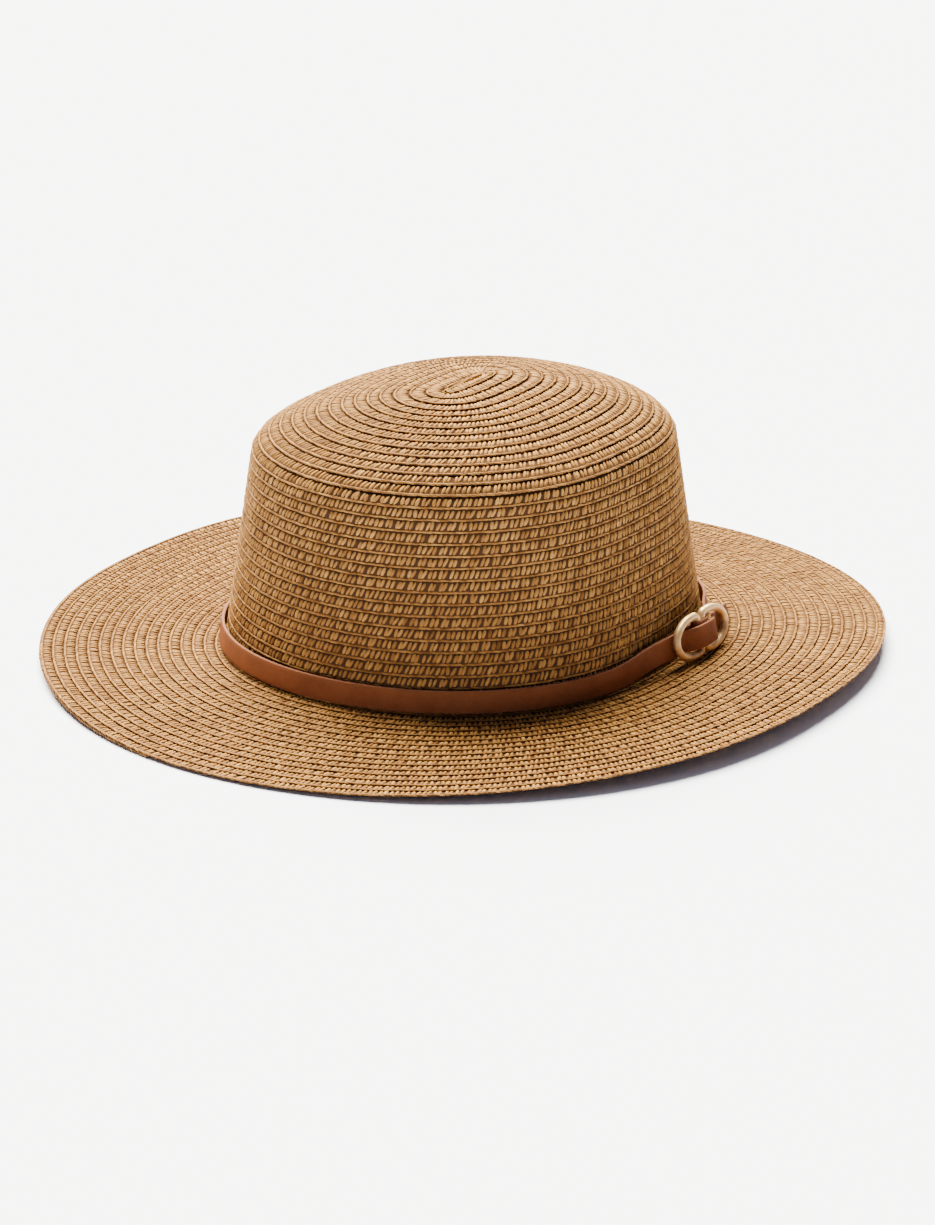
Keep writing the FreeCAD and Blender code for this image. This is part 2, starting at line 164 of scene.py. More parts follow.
class Mesh:
    """Collects batches of vertices and faces with a tint for each vertex, then makes an object."""

    def __init__(self):
        self.points, self.tints, self.quads, self.tris, self.count = [], [], [], [], 0

    def add(self, points, tint, quads, tris):
        """points is (batch, n, 3); quads and tris index one item of the batch, which they close.
        tint is one value for each item or for each of its points."""
        batch, n = points.shape[:2]
        quads, tris = outward(points[0], quads, tris)
        first = self.count + np.arange(batch)[:, None, None] * n
        self.points.append(points.reshape(-1, 3))
        tint = np.asarray(tint)
        tint = tint if tint.ndim == 2 else tint.reshape(-1, 1)
        self.tints.append(np.broadcast_to(tint, (batch, n)).reshape(-1))
        self.quads.append((first + quads[None]).reshape(-1, 4))
        self.tris.append((first + tris[None]).reshape(-1, 3))
        self.count += batch * n

    def add_tube(self, lines, tint, closed=False):
        """One tube from the lines that run along it, each with the same number of points."""
        points = np.stack(lines, 1).reshape(1, -1, 3)
        self.add(points, tint, *tube_faces(len(lines[0]), len(lines), closed))

    def object(self, name, material, body, replaced):
        mesh = bpy.data.meshes.new(name)
        points = np.concatenate(self.points) * MM
        quads, tris = np.concatenate(self.quads), np.concatenate(self.tris)
        corners = np.concatenate([quads.ravel(), tris.ravel()])
        starts = np.concatenate([np.arange(len(quads)) * 4,
                                 quads.size + np.arange(len(tris)) * 3])
        mesh.vertices.add(len(points))
        mesh.vertices.foreach_set("co", points.ravel().astype(np.float32))
        mesh.loops.add(len(corners))
        mesh.loops.foreach_set("vertex_index", corners.astype(np.int32))
        mesh.polygons.add(len(starts))
        mesh.polygons.foreach_set("loop_start", starts.astype(np.int32))
        mesh.polygons.foreach_set("use_smooth", np.ones(len(starts), bool))
        tint = mesh.attributes.new("tint", "FLOAT", "POINT")
        tint.data.foreach_set("value", np.concatenate(self.tints).astype(np.float32))
        mesh.update(calc_edges=True)
        mesh.materials.append(material)
        piece = bpy.data.objects.new(name, mesh)
        bpy.context.scene.collection.objects.link(piece)
        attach(piece, body)
        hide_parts(*replaced)
        return piece


def tube_faces(sections, around, closed=False):
    """Quads of a tube, and triangles that close its two ends unless it is a closed ring."""
    i, j = np.meshgrid(np.arange(sections - (not closed)), np.arange(around), indexing="ij")
    k, after = (j + 1) % around, (i + 1) % sections
    quads = np.stack([i * around + j, i * around + k, after * around + k, after * around + j], -1)
    if closed:
        return quads.reshape(-1, 4), np.zeros((0, 3), int)
    m = np.arange(1, around - 1)
    end = (sections - 1) * around
    start_fan = np.stack([np.zeros_like(m), m + 1, m], -1)
    end_fan = np.stack([end + np.zeros_like(m), end + m, end + m + 1], -1)
    return quads.reshape(-1, 4), np.concatenate([start_fan, end_fan])


def grain_template(around, rings):
    """Closed plump grain: unit coordinates along it and across it, with its faces."""
    ends = 1 - 1 / (1 + rings)
    along = np.linspace(-ends, ends, rings)
    girth = np.sqrt(1 - np.abs(along) ** 2.6)
    angle = 2 * np.pi * (np.arange(around) + 0.5) / around
    v = np.concatenate([[-1], np.repeat(along, around), [1]])
    across = np.concatenate([[0], (girth[:, None] * np.cos(angle)).ravel(), [0]])
    up = np.concatenate([[0], (girth[:, None] * np.sin(angle)).ravel(), [0]])
    quads, _ = tube_faces(rings, around)
    j = np.arange(around)
    k = (j + 1) % around
    last = 1 + (rings - 1) * around
    start = np.stack([np.zeros_like(j), 1 + k, 1 + j], -1)
    end = np.stack([np.full_like(j, last + around), last + j, last + k], -1)
    return v, across, up, quads + 1, np.concatenate([start, end])


POST_GRAIN = grain_template(6, 3)   # finer, for strands that are seen well
PLAIN_GRAIN = grain_template(5, 2)


def add_grains(mesh, surface, template, s, phi, out, size, tint, crosswise, slant=0.0, tip=0.0):
    """Grains on a surface. size is (length, width, height); slant shifts a grain's end sideways
    and tip lifts it, both for each millimetre along the grain."""
    v, across, up, quads, tris = template
    length, width, height = (np.broadcast_to(value, s.shape)[:, None] / 2 for value in size)
    slant, tip = (np.broadcast_to(value, s.shape)[:, None] for value in (slant, tip))
    forward = length * v
    side = width * across + slant * forward
    rise = height * up + tip * forward
    ds, da = (forward, side) if crosswise else (side, forward)
    s_all = s[:, None] + ds
    radius = bend_radius(surface.half_width(s), phi)[:, None]
    mirror = -1 if crosswise else 1
    points = surface.at(s_all, phi[:, None] + mirror * da / radius, out[:, None] + rise)
    mesh.add(points, tint, quads, tris)


# ------------------------------------------------------------------ the braid

CELL = 3.85                         # one repeat of the plait along the strip
LIP_DEPTH = 0.55                    # middle of the tape below the surface, at the lip
TUCK_DEPTH = 1.38                   # the same at the edge under the row before
TAPE_HALF = 0.2
OVERLAP = 1.3                       # how far a row reaches under the row before
CROWN_CORDS = 1.33                  # of a crown row's pitch that isn't open stitches
BRIM_CORDS = 2.3                    # of a brim strip's width that isn't open stitches
START_ANGLE = -math.pi / 2          # the spiral's turns are counted from the front end
TAPE_STEP = 1.5
POST_START = 0.92                   # of the stitches, from the lip
POST_SIDE = 0.8                     # of a repeat's two stitches, from its middle
POST_WIDTH = (1.3, 1.85)            # smallest and largest
POST_HEIGHT = (1.1, 1.45)
CORD_MIDDLE = 0.5                   # of the cord, from the lip
CORD_RISE = 0.16
CORD_SIZE = ((3.1, 3.7), (0.8, 0.96), (0.66, 0.8))  # limits of length, width and height
EDGE_MIDDLE = 0.45                  # of the inner strand, from the strip's inner edge
EDGE_SIZE = ((4.6, 5.3), (0.86, 1.0), (0.7, 0.8))
SEAM_FROM_LIP = 1.0
SEAM_RADIUS = 0.2
SEAM_WAVE = 0.3                     # swing of the seam thread in and out, about its middle


class Spiral:
    """The strip's lip as a function of turns, with the arc length along it."""

    def __init__(self, surface, lip, start, end, sink):
        self.surface, self.lip, self.sink = surface, lip, sink
        self.turns = np.linspace(start, end, int((end - start) * 720) + 2)
        radius = bend_radius(surface.half_width(lip(self.turns)), self.phi(self.turns))
        steps = (radius[1:] + radius[:-1]) / 2 * np.diff(self.turns) * 2 * np.pi
        self.length = np.concatenate([[0], np.cumsum(steps)])

    def phi(self, turns):
        return START_ANGLE + 2 * np.pi * turns

    def stations(self, start, end, spacing):
        """Turn counts at an even spacing along the strip, from one turn count to another."""
        l0, l1 = np.interp([start, end], self.turns, self.length)
        count = max(int(round((l1 - l0) / spacing)), 2)
        at = l0 + (l1 - l0) * (np.arange(count) + 0.5) / count
        return np.interp(at, self.length, self.turns)


def build_braid(mesh, spiral, start, end, width, tuck, post_rise, visible, slope, slant):
    """Adds the strip between two turn counts. width and tuck give, for each turn count, the
    strip's width and the depth of its inner edge; visible is the length of its open stitches,
    slope how much deeper they lie at the end that is under the row before, and slant how far
    they lean, in radians."""
    surface = spiral.surface

    def depth(turns, t):
        """The open part slopes a little; the tucked part bends down under the row before."""
        wide = width(turns)
        hidden = np.maximum(wide - OVERLAP - 0.4, 0.3 * wide)
        open_share = np.clip(t / hidden, 0, 1)
        tucked_share = np.clip((t - hidden) / (wide - hidden), 0, 1)
        bend = np.minimum(tuck(turns) - LIP_DEPTH, slope)
        return spiral.sink(turns) + LIP_DEPTH + bend * open_share \
            + (tuck(turns) - LIP_DEPTH - bend) * tucked_share

    # tape under the stitches, tint -1; its dark colour is painted shade in the gaps between them
    turns = np.concatenate([[start], spiral.stations(start, end, TAPE_STEP), [end]])
    wide = width(turns)
    profile = [(0.12, 1), (0.8, 1), (0.5 * wide, 1), (wide, 1),
               (wide, -1), (0.5 * wide, -1), (0.8, -1), (0.12, -1)]
    lines = []
    for t, side in profile:
        t = np.broadcast_to(t, turns.shape)
        lines.append(surface.at(spiral.lip(turns) - t, spiral.phi(turns),
                                -depth(turns, t) + side * TAPE_HALF))
    mesh.add_tube(lines, [-1.0])

    # plump stitches, two strands for each repeat of the plait
    cells = spiral.stations(start, end, CELL)
    n = len(cells)
    phi = spiral.phi(cells)
    for half in (-1, 1):
        length = (visible(cells) + 0.2) * rng.uniform(0.9, 1.06, n)
        middle = POST_START + length / 2 + rng.normal(0, 0.06, n)
        shift = half * POST_SIDE + rng.normal(0, 0.15, n)
        radius = bend_radius(surface.half_width(spiral.lip(cells) - middle), phi)
        size = (length, rng.uniform(*POST_WIDTH, n), rng.uniform(*POST_HEIGHT, n))
        tint = np.clip(rng.normal(0.5, 0.17, n), 0, 1)
        add_grains(mesh, surface, POST_GRAIN, spiral.lip(cells) - middle, phi + shift / radius,
                   post_rise - depth(cells, middle) + rng.normal(0, 0.05, n), size, tint,
                   True, rng.normal(slant + 0.06 * half, 0.1, n), rng.normal(0.03, 0.03, n))

    # cord along the lip, two twisted strands for each repeat; they get a darker tint than the
    # stitches, painted shade that holds down the light their rounded tops catch
    twists = spiral.stations(start, end, CELL / 2)
    m = len(twists)
    radius = bend_radius(surface.half_width(spiral.lip(twists) - CORD_MIDDLE), spiral.phi(twists))
    size = tuple(rng.uniform(*limits, m) for limits in CORD_SIZE)
    sway = CORD_MIDDLE + rng.normal(0, 0.05, m)
    add_grains(mesh, surface, POST_GRAIN, spiral.lip(twists) - sway,
               spiral.phi(twists) + rng.normal(0, 0.06, m) / radius,
               CORD_RISE - depth(twists, CORD_MIDDLE) + rng.normal(0, 0.03, m), size,
               np.clip(rng.normal(0.24, 0.18, m), 0, 1), False, rng.normal(0.15, 0.04, m),
               rng.normal(-0.07, 0.02, m))

    # strand along the inner edge
    edge = width(cells) - EDGE_MIDDLE
    size = tuple(rng.uniform(*limits, n) for limits in EDGE_SIZE)
    add_grains(mesh, surface, PLAIN_GRAIN, spiral.lip(cells) - edge, phi,
               -0.05 - depth(cells, edge), size, np.clip(rng.normal(0.6, 0.14, n), 0, 1), False,
               rng.normal(0.085, 0.02, n), rng.normal(-0.05, 0.015, n))


def seam_thread(mesh, spiral, start, end):
    """Sewing thread on the inner side of each lip; it dips into the straw once for each stitch."""
    turns = spiral.stations(start, end, CELL / 4)
    wave = np.arange(len(turns)) * np.pi / 2
    out = -spiral.sink(turns) - THICKNESS - 0.12 + SEAM_WAVE * np.cos(wave)
    s = spiral.lip(turns) - SEAM_FROM_LIP + 0.12 * np.sin(wave / 2)
    lines = []
    for side, up in ((1, 0), (0, 1), (-1, 0), (0, -1)):
        lines.append(spiral.surface.at(s + SEAM_RADIUS * side, spiral.phi(turns),
                                       out + SEAM_RADIUS * up))
    mesh.add_tube(lines, [0.5])


# ------------------------------------------------------------------ materials

def node_tree(name):
    material = bpy.data.materials.new(name)
    material.use_nodes = True
    nodes = material.node_tree.nodes
    return material, nodes, material.node_tree.links, nodes["Principled BSDF"]


def ramp(nodes, stops):
    node = nodes.new("ShaderNodeValToRGB")
    node.color_ramp.elements[0].position = stops[0][0]
    node.color_ramp.elements[0].color = (*stops[0][1], 1)
    node.color_ramp.elements[1].position = stops[-1][0]
    node.color_ramp.elements[1].color = (*stops[-1][1], 1)
    for place, colour in stops[1:-1]:
        node.color_ramp.elements.new(place).color = (*colour, 1)
    return node


def noise(nodes, links, coords, scale, detail=3.0, stretch=None):
    node = nodes.new("ShaderNodeTexNoise")
    node.inputs["Scale"].default_value = scale
    node.inputs["Detail"].default_value = detail
    if stretch:
        mapping = nodes.new("ShaderNodeMapping")
        mapping.inputs["Scale"].default_value = stretch
        links.new(coords, mapping.inputs["Vector"])
        coords = mapping.outputs["Vector"]
    links.new(coords, node.inputs["Vector"])
    return node.outputs["Fac"]


def math_node(nodes, links, kind, *values, clamp=False):
    node = nodes.new("ShaderNodeMath")
    node.operation = kind
    node.use_clamp = clamp
    for socket, value in zip(node.inputs, values):
        if isinstance(value, (int, float)):
            socket.default_value = value
        else:
            links.new(value, socket)
    return node.outputs[0]


def mix_colour(nodes, links, kind, factor, a, b):
    node = nodes.new("ShaderNodeMix")
    node.data_type = "RGBA"
    node.blend_type = kind
    for socket_name, value in (("Factor", factor), ("A", a), ("B", b)):
        socket = node.inputs[socket_name]
        if hasattr(value, "links"):
            links.new(value, socket)
        else:
            socket.default_value = value if isinstance(value, float) else (*value, 1)
    return node.outputs["Result"]


def bump(nodes, links, height, strength, distance, shader):
    node = nodes.new("ShaderNodeBump")
    node.inputs["Strength"].default_value = strength
    node.inputs["Distance"].default_value = distance
    links.new(height, node.inputs["Height"])
    links.new(node.outputs["Normal"], shader.inputs["Normal"])


def straw_material():
    """Paper straw: every strand its own shade, fine fibres, lighter and darker patches.
    "tint" is the shade of a strand, from 0, dark, to 1, and -1 on the tape under them, whose dark
    colour is painted shade."""
    material, nodes, links, shader = node_tree("straw_braid")
    coords = nodes.new("ShaderNodeTexCoord").outputs["Object"]
    tint = nodes.new("ShaderNodeAttribute")
    tint.attribute_name = "tint"
    patches = noise(nodes, links, coords, 55.0)
    fibres = noise(nodes, links, coords, 2600.0, 4.0)
    shade = math_node(nodes, links, "ADD", tint.outputs["Fac"],
                      math_node(nodes, links, "MULTIPLY_ADD", patches, 0.5, -0.25), clamp=True)
    colours = ramp(nodes, ((0.0, (0.155, 0.066, 0.016)), (0.35, (0.265, 0.127, 0.034)),
                           (0.65, (0.345, 0.176, 0.048)), (1.0, (0.46, 0.25, 0.072))))
    links.new(shade, colours.inputs["Fac"])
    streaks = ramp(nodes, ((0.3, (0.74, 0.70, 0.64)), (0.7, (1.0, 1.0, 1.0))))
    links.new(fibres, streaks.inputs["Fac"])
    colour = mix_colour(nodes, links, "MULTIPLY", 0.8, colours.outputs["Color"],
                        streaks.outputs["Color"])
    painted_shade_on_tape = math_node(nodes, links, "LESS_THAN", tint.outputs["Fac"], -0.5)
    # the tape's dark colour is painted shade, seen only in the gaps between the strands
    colour = mix_colour(nodes, links, "MIX", painted_shade_on_tape, colour, (0.052, 0.026, 0.013))
    links.new(colour, shader.inputs["Base Color"])
    rough = math_node(nodes, links, "MULTIPLY_ADD", fibres, 0.3, 0.5)
    links.new(rough, shader.inputs["Roughness"])
    shine = math_node(nodes, links, "MULTIPLY_ADD", painted_shade_on_tape, -0.06, 0.06)
    links.new(shine, shader.inputs["Specular IOR Level"])
    bump(nodes, links, fibres, 0.5, 0.00025, shader)
    return material


def thread_material(name, colour):
    """Spun thread, lighter and darker by its fibres."""
    material, nodes, links, shader = node_tree(name)
    coords = nodes.new("ShaderNodeTexCoord").outputs["Object"]
    fibres = noise(nodes, links, coords, 3200.0, 3.0)
    dark = tuple(value * 0.62 for value in colour)
    colours = ramp(nodes, ((0.3, dark), (0.7, colour)))
    links.new(fibres, colours.inputs["Fac"])
    links.new(colours.outputs["Color"], shader.inputs["Base Color"])
    shader.inputs["Roughness"].default_value = 0.8
    bump(nodes, links, fibres, 0.6, 0.0002, shader)
    return material


STRAW = straw_material()
SEAM = thread_material("seam_thread_cotton", (0.60, 0.42, 0.24))

# ------------------------------------------------------------------ straw: crown and brim

crown = Crown()
brim = Brim()
START_LIP = 3.3                     # of the first strip, from the middle
START_PITCH = 6.2
TIP_PITCH = 4.9
WALL_PITCH = (crown.end - crown.shoulder) / WALL_ROWS
BRIM_PITCH = BRIM_WIDTH / BRIM_ROWS
EASE = (2.0, 4.0)                   # turns over which the pitch settles to the tip's
TURN_STEP = 0.005
pitch_turns = np.linspace(0, 40, 8001)
pitch_sum = START_LIP + np.concatenate([[0], np.cumsum(
    (START_PITCH + (TIP_PITCH - START_PITCH) * smooth(pitch_turns[1:], *EASE)) * TURN_STEP)])
TIP_TURNS = float(np.interp(crown.shoulder, pitch_sum, pitch_turns))
CROWN_TURNS = TIP_TURNS + WALL_ROWS
CROWN_START = 0.19                  # turn counts where the strips are cut off
CROWN_END = CROWN_TURNS + 0.97
BRIM_START = 0.02
BRIM_END = BRIM_ROWS + 0.97


def crown_lip(turns):
    tip = np.interp(turns, pitch_turns, pitch_sum)
    wall = crown.shoulder + (turns - TIP_TURNS) * WALL_PITCH
    return np.minimum(np.where(turns < TIP_TURNS, tip, wall), crown.end)


def crown_pitch(turns):
    return np.where(turns < TIP_TURNS, START_PITCH + (TIP_PITCH - START_PITCH)
                    * smooth(turns, *EASE), WALL_PITCH)


def crown_width(turns):
    """The first turn is cut to the width that closes the middle of the tip."""
    full = crown_pitch(turns) + OVERLAP
    free = np.interp(turns, [0, 0.3, 0.75, 1.0, 1.15],
                     [8.2, 8.0, 5.95, 6.6, START_PITCH + OVERLAP])
    return np.where(turns < 1.15, free, full)


def crown_tuck(turns):
    """The first turn's second half lies over the strip's start, so its edge isn't tucked."""
    return np.interp(turns, [0.36, 0.55, 0.9, 1.12], [TUCK_DEPTH - 0.1, 0.25, 0.25, TUCK_DEPTH])


def crown_visible(turns):
    """Length of the stitches between the two cords."""
    return np.interp(turns, [0, 0.3, 0.75, 1.1], [5.9, 5.7, 4.1, 4.9]) * (turns < 1.1) \
        + (crown_pitch(turns) - CROWN_CORDS) * (turns >= 1.1)


def sink_at_end(last):
    """The last turn tapers off under the one before, so it sinks as they come together."""
    return lambda turns: 0.95 * smooth(turns, last, last + 0.95)


def brim_width(turns):
    """Narrow at the wall, where the strip starts, and at the edge, where it ends."""
    narrowed = np.minimum(turns * BRIM_PITCH + 1.9, (BRIM_ROWS + 1 - turns) * BRIM_PITCH + 1.3)
    return np.minimum(narrowed, BRIM_PITCH + 1.1)


def brim_tuck(turns):
    """The first turn lies right under the wall's foot, and the last one has the floor below."""
    return np.interp(turns, [1.05, 1.3, 15.9, 16.9],
                     [0.85, TUCK_DEPTH, TUCK_DEPTH, TUCK_DEPTH - 0.3])


def brim_visible(turns):
    """The same length on the brim."""
    return np.maximum(brim_width(turns) - BRIM_CORDS, 0.6)


crown_spiral = Spiral(crown, crown_lip, CROWN_START, CROWN_END, sink_at_end(CROWN_TURNS))
brim_spiral = Spiral(brim, lambda turns: np.minimum(turns * BRIM_PITCH, BRIM_WIDTH - 0.05),
                     BRIM_START, BRIM_END, lambda turns: 0.3 * smooth(turns, BRIM_ROWS, 16.9))

crown_cuts = [CROWN_START, 10.5, TIP_TURNS, TIP_TURNS + 5, TIP_TURNS + 9, TIP_TURNS + 13,
              CROWN_END]
crown_names = ["crown_tip_braid_middle", "crown_tip_braid_outer", "crown_side_braid_top",
               "crown_side_braid_upper", "crown_side_braid_lower", "crown_side_braid_foot"]
for index, name in enumerate(crown_names):
    mesh = Mesh()
    on_wall = index >= 2
    build_braid(mesh, crown_spiral, crown_cuts[index], crown_cuts[index + 1], crown_width,
                crown_tuck, 0.1, crown_visible, 0.45 if on_wall else 0.7, 0.38)
    mesh.object(name, STRAW, "hat", ["crown_side"] if on_wall else ["crown_tip"])

brim_cuts = [BRIM_START, 4.5, 8.2, 11.5, 14.4, BRIM_END]
for index, name in enumerate(("brim_braid_inner", "brim_braid_second", "brim_braid_third",
                              "brim_braid_fourth", "brim_braid_edge")):
    mesh = Mesh()
    build_braid(mesh, brim_spiral, brim_cuts[index], brim_cuts[index + 1], brim_width,
                brim_tuck, 0.12, brim_visible, 0.6, 0.2)
    mesh.object(name, STRAW, "hat", ["brim"])

for name, spiral, start, end, node in (
        ("tip_seam_stitching", crown_spiral, 1.2, TIP_TURNS, "tip_seam_thread"),
        ("side_seam_stitching", crown_spiral, TIP_TURNS, CROWN_TURNS, "side_seam_thread"),
        ("brim_seam_stitching", brim_spiral, 1.0, 13.0, "brim_seam_thread")):
    mesh = Mesh()
    seam_thread(mesh, spiral, start, end)
    mesh.object(name, SEAM, "hat", [node])

# ------------------------------------------------------------------ ribbons: sweatband and leather

SWEATBAND_HEIGHT = 28.0
SWEATBAND_THICKNESS = 0.7
SWEATBAND_DEPTH = THICKNESS + 1.2   # middle of the ribbon below the straw's outer surface
SWEATBAND_OVERLAP = 9.0             # degrees that the doubled end covers at the back
SWEATBAND_TUCK = 0.9                # how far the doubled end moves inwards
SWEATBAND_TUCKED = (0.88, 0.94)     # shares of the ribbon's length between which it does
SWEATBAND_STEPS = 72
RIB_PITCH = 1.05
HEM_HEIGHT = 2.5                    # of the hem stitches above the sweatband's lower edge
HEM_STITCH = 4.4
HEM_WIDTH = 0.55
HEM_STATIONS = slice(3, 62)         # clear of the doubled end
END_STITCHES = 4
END_STITCH_PITCH = 6.0
STITCH_OFFSET = 0.2                 # middle of a stitch above the face that it lies on
STRAP_HEIGHT = 8.6
STRAP_THICKNESS = 1.2
STRAP_MIDDLE = 5.3                  # at the front and back; it lies lower at the sides
STRAP_DIP = 2.0
STRAP_GAP = 1.0                     # between the strap and the straw
STRAP_LEAN = 8.5                    # degrees, follows the wall
STRAP_START, STRAP_END, STRAP_STEP = 24, 349, 4     # degrees round the crown
STRAP_SETTLED = 48                  # where it has reached its own height, degrees
STRAP_HIDDEN = (-6.0, -2.0, 2.0, 6.0)   # stations of its end behind the keeper
BUCKLE = (91.0, 22.5, 7.2)          # middle of the keeper; its height is above the foot
BUCKLE_SAG = 0.3                    # of the strap below the middle of the rings
BUCKLE_LEAN = math.radians(12.0)
WIRE_RADIUS = 1.5
WIRE_SIDES = 20
RING_BEND = 7.2                     # half height of a ring, on the middle of its wire
RING_STRAIGHT = 5.0                 # from the straight limb to where the round side starts
RING_DEPTH = 16.4                   # from the straight limb to the round side's far point
RING_CORNER = 1.9
LIMB = 1.8                          # from the keeper's middle to each straight limb
KEEPER_HEIGHT = 10.6
KEEPER_THICKNESS = 0.7
KEEPER_GAP = 0.15                   # clearance of the rings inside the keeper
KEEPER_BEND = 1.55
TACK_COUNT = 3                      # stitches in each of the keeper's two rows
TACK_PITCH = 2.6
TACK_STITCH = 1.6
TACK_WIDTH = 0.5
STRAP_OVER = 3.05                   # of the strap's middle, out from the wires', over the keeper
STRAP_UNDER = -2.45                 # and under the rings' round sides
ROUND_SIDE = LIMB + RING_DEPTH


def smooth_line(points, per):
    """Smooth curve through the points, with this many steps between two of them."""
    points = np.asarray(points, float)
    u = np.concatenate([[0], np.cumsum(np.linalg.norm(np.diff(points[:, :3], axis=0), axis=1))])
    slope = np.gradient(points, u, axis=0)
    share = np.arange(per) / per
    at = np.append((u[:-1, None] + np.diff(u)[:, None] * share).ravel(), u[-1])
    i = np.clip(np.searchsorted(u, at, "right") - 1, 0, len(u) - 2)
    h = (u[i + 1] - u[i])[:, None]
    t = (at - u[i])[:, None] / h
    start = (1 + 2 * t) * (1 - t) ** 2 * points[i] + t * (1 - t) ** 2 * h * slope[i]
    end = t ** 2 * (3 - 2 * t) * points[i + 1] - t ** 2 * (1 - t) * h * slope[i + 1]
    return start + end


class Ribbon:
    """A ribbon's path from rows of x, y, z and lean in degrees, with the crown on its left."""

    def __init__(self, line):
        self.middle = line[:, :3]
        lean = np.radians(line[:, 3:4])
        along = np.gradient(self.middle, axis=0)
        along[:, 2] = 0
        along /= np.linalg.norm(along, axis=1)[:, None]
        self.along = along
        normal = np.stack([along[:, 1], -along[:, 0], np.zeros(len(along))], -1)
        self.face = normal * np.cos(lean) + [0, 0, 1] * np.sin(lean)
        self.rise = [0, 0, 1] * np.cos(lean) - normal * np.sin(lean)
        steps = np.linalg.norm(np.diff(self.middle, axis=0), axis=1)
        self.length = np.concatenate([[0], np.cumsum(steps)])

    def at(self, out, up):
        return self.middle + self.face * out + self.rise * up


def rounded_section(half_thickness, half_height, corner):
    """Outline of a flat strip with rounded long edges, as pairs of out and up."""
    steps = 4
    outline = []
    for quarter, (out, up) in enumerate(((1, 1), (-1, 1), (-1, -1), (1, -1))):
        for step in range(steps):
            angle = (quarter + step / (steps - 1)) * math.pi / 2
            outline.append((out * (half_thickness - corner) + corner * math.cos(angle),
                            up * (half_height - corner) + corner * math.sin(angle)))
        reach = half_height / 2 * up
        if quarter in (1, 3):
            outline += [(out * half_thickness, share * reach) for share in (1.2, 0, -1.2)]
    return outline


def add_ribbon(mesh, ribbon, outline, tint, swell=0.0):
    """tint gives a value for each (station, outline point); swell rounds the two cut ends."""
    shrink = np.ones(len(ribbon.middle))
    if swell:
        shrink[[0, -1]] = 1 - swell
    lines = [ribbon.middle + ribbon.face * (out * shrink)[:, None]
             + ribbon.rise * (up * (1 - (1 - shrink) * 0.12))[:, None] for out, up in outline]
    mesh.add_tube(lines, tint.reshape(1, -1))


def add_stitches(mesh, middle, along, face, length, width):
    """Short plump stitches of two plies that lie on a surface, their ends pulled into it."""
    v, across, up, quads, tris = POST_GRAIN
    side = np.cross(face, along)
    for ply in (-1, 1):
        shift = v * 0.3 * ply
        points = middle[:, None] + along[:, None] * (v * length / 2)[None, :, None] \
            + side[:, None] * ((across * 0.36 + shift) * width)[None, :, None] \
            + face[:, None] * ((up * 0.42 - 0.5 * v ** 4) * width)[None, :, None]
        mesh.add(points, rng.uniform(0.2, 0.8, len(middle)), quads, tris)


def burnish_and_highlight_tint(outline, face_end, edge_start):
    """Tint of each outline point: 0 on the leather's face, 1 along its long edges, which are
    coloured lighter as burnish and as a painted highlight.
    """
    return np.array([float(smooth(abs(up), face_end, edge_start)) for out, up in outline])


def buckle_point(along, out, up):
    """Point near the buckle, from the middle of the keeper in the buckle's leaning frame."""
    c, s = math.cos(BUCKLE_LEAN), math.sin(BUCKLE_LEAN)
    x, y, z = BUCKLE
    return np.stack(np.broadcast_arrays(x + out * c - up * s, y + along,
                                        FOOT + z + out * s + up * c), -1)


def sweatband_line():
    """Once round inside the wall; the end that overlaps moves inwards, behind the start."""
    share = np.arange(SWEATBAND_STEPS + 1) / SWEATBAND_STEPS
    phi = np.radians(90 - SWEATBAND_OVERLAP / 2 + (360 + SWEATBAND_OVERLAP) * share)
    tuck = smooth(share, *SWEATBAND_TUCKED) * SWEATBAND_TUCK
    x, y = oval(HALF_WIDTH - TAPER * SWEATBAND_HEIGHT / 2 - SWEATBAND_DEPTH - tuck, phi)
    z = np.full_like(x, FOOT + SWEATBAND_HEIGHT / 2)
    return np.stack([x, y, z, np.full_like(x, math.degrees(math.atan(TAPER)))], -1)


def strap_line():
    """Hidden end, round the back, side and front of the crown, through both rings, tail."""
    lean = math.degrees(BUCKLE_LEAN)

    def at_buckle(along, out):
        return [*buckle_point(along, out, -BUCKLE_SAG), lean]

    rows = [at_buckle(along, -STRAP_OVER) for along in STRAP_HIDDEN]
    start_rise = rows[-1][2] - FOOT
    for angle in range(STRAP_START, STRAP_END, STRAP_STEP):
        own_rise = STRAP_MIDDLE - STRAP_DIP * math.cos(math.radians(angle)) ** 2
        x, y = oval(HALF_WIDTH - TAPER * own_rise + STRAP_GAP + STRAP_THICKNESS / 2,
                    math.radians(angle))
        settled = float(smooth(angle, STRAP_START, STRAP_SETTLED))
        rise = start_rise + (own_rise - start_rise) * settled
        rows.append([float(x), float(y), FOOT + rise, STRAP_LEAN])
    climb = ((ROUND_SIDE, STRAP_UNDER), (ROUND_SIDE - 3.6, STRAP_UNDER + 0.2),
             (ROUND_SIDE / 2 + 0.6, 0.35), (LIMB + 3.8, STRAP_OVER - 0.35),
             (LIMB + 0.8, STRAP_OVER))
    rows.append(at_buckle(-ROUND_SIDE - 10, STRAP_UNDER - 0.9))
    rows.append(at_buckle(-ROUND_SIDE - 4, STRAP_UNDER - 0.3))
    rows += [at_buckle(-along, out) for along, out in climb]
    rows += [at_buckle(along, out) for along, out in reversed(climb)]
    rows.append(at_buckle(ROUND_SIDE + 4, STRAP_UNDER - 0.5))
    rows.append(at_buckle(ROUND_SIDE + 9, STRAP_UNDER - 1.6))
    return np.array(rows)


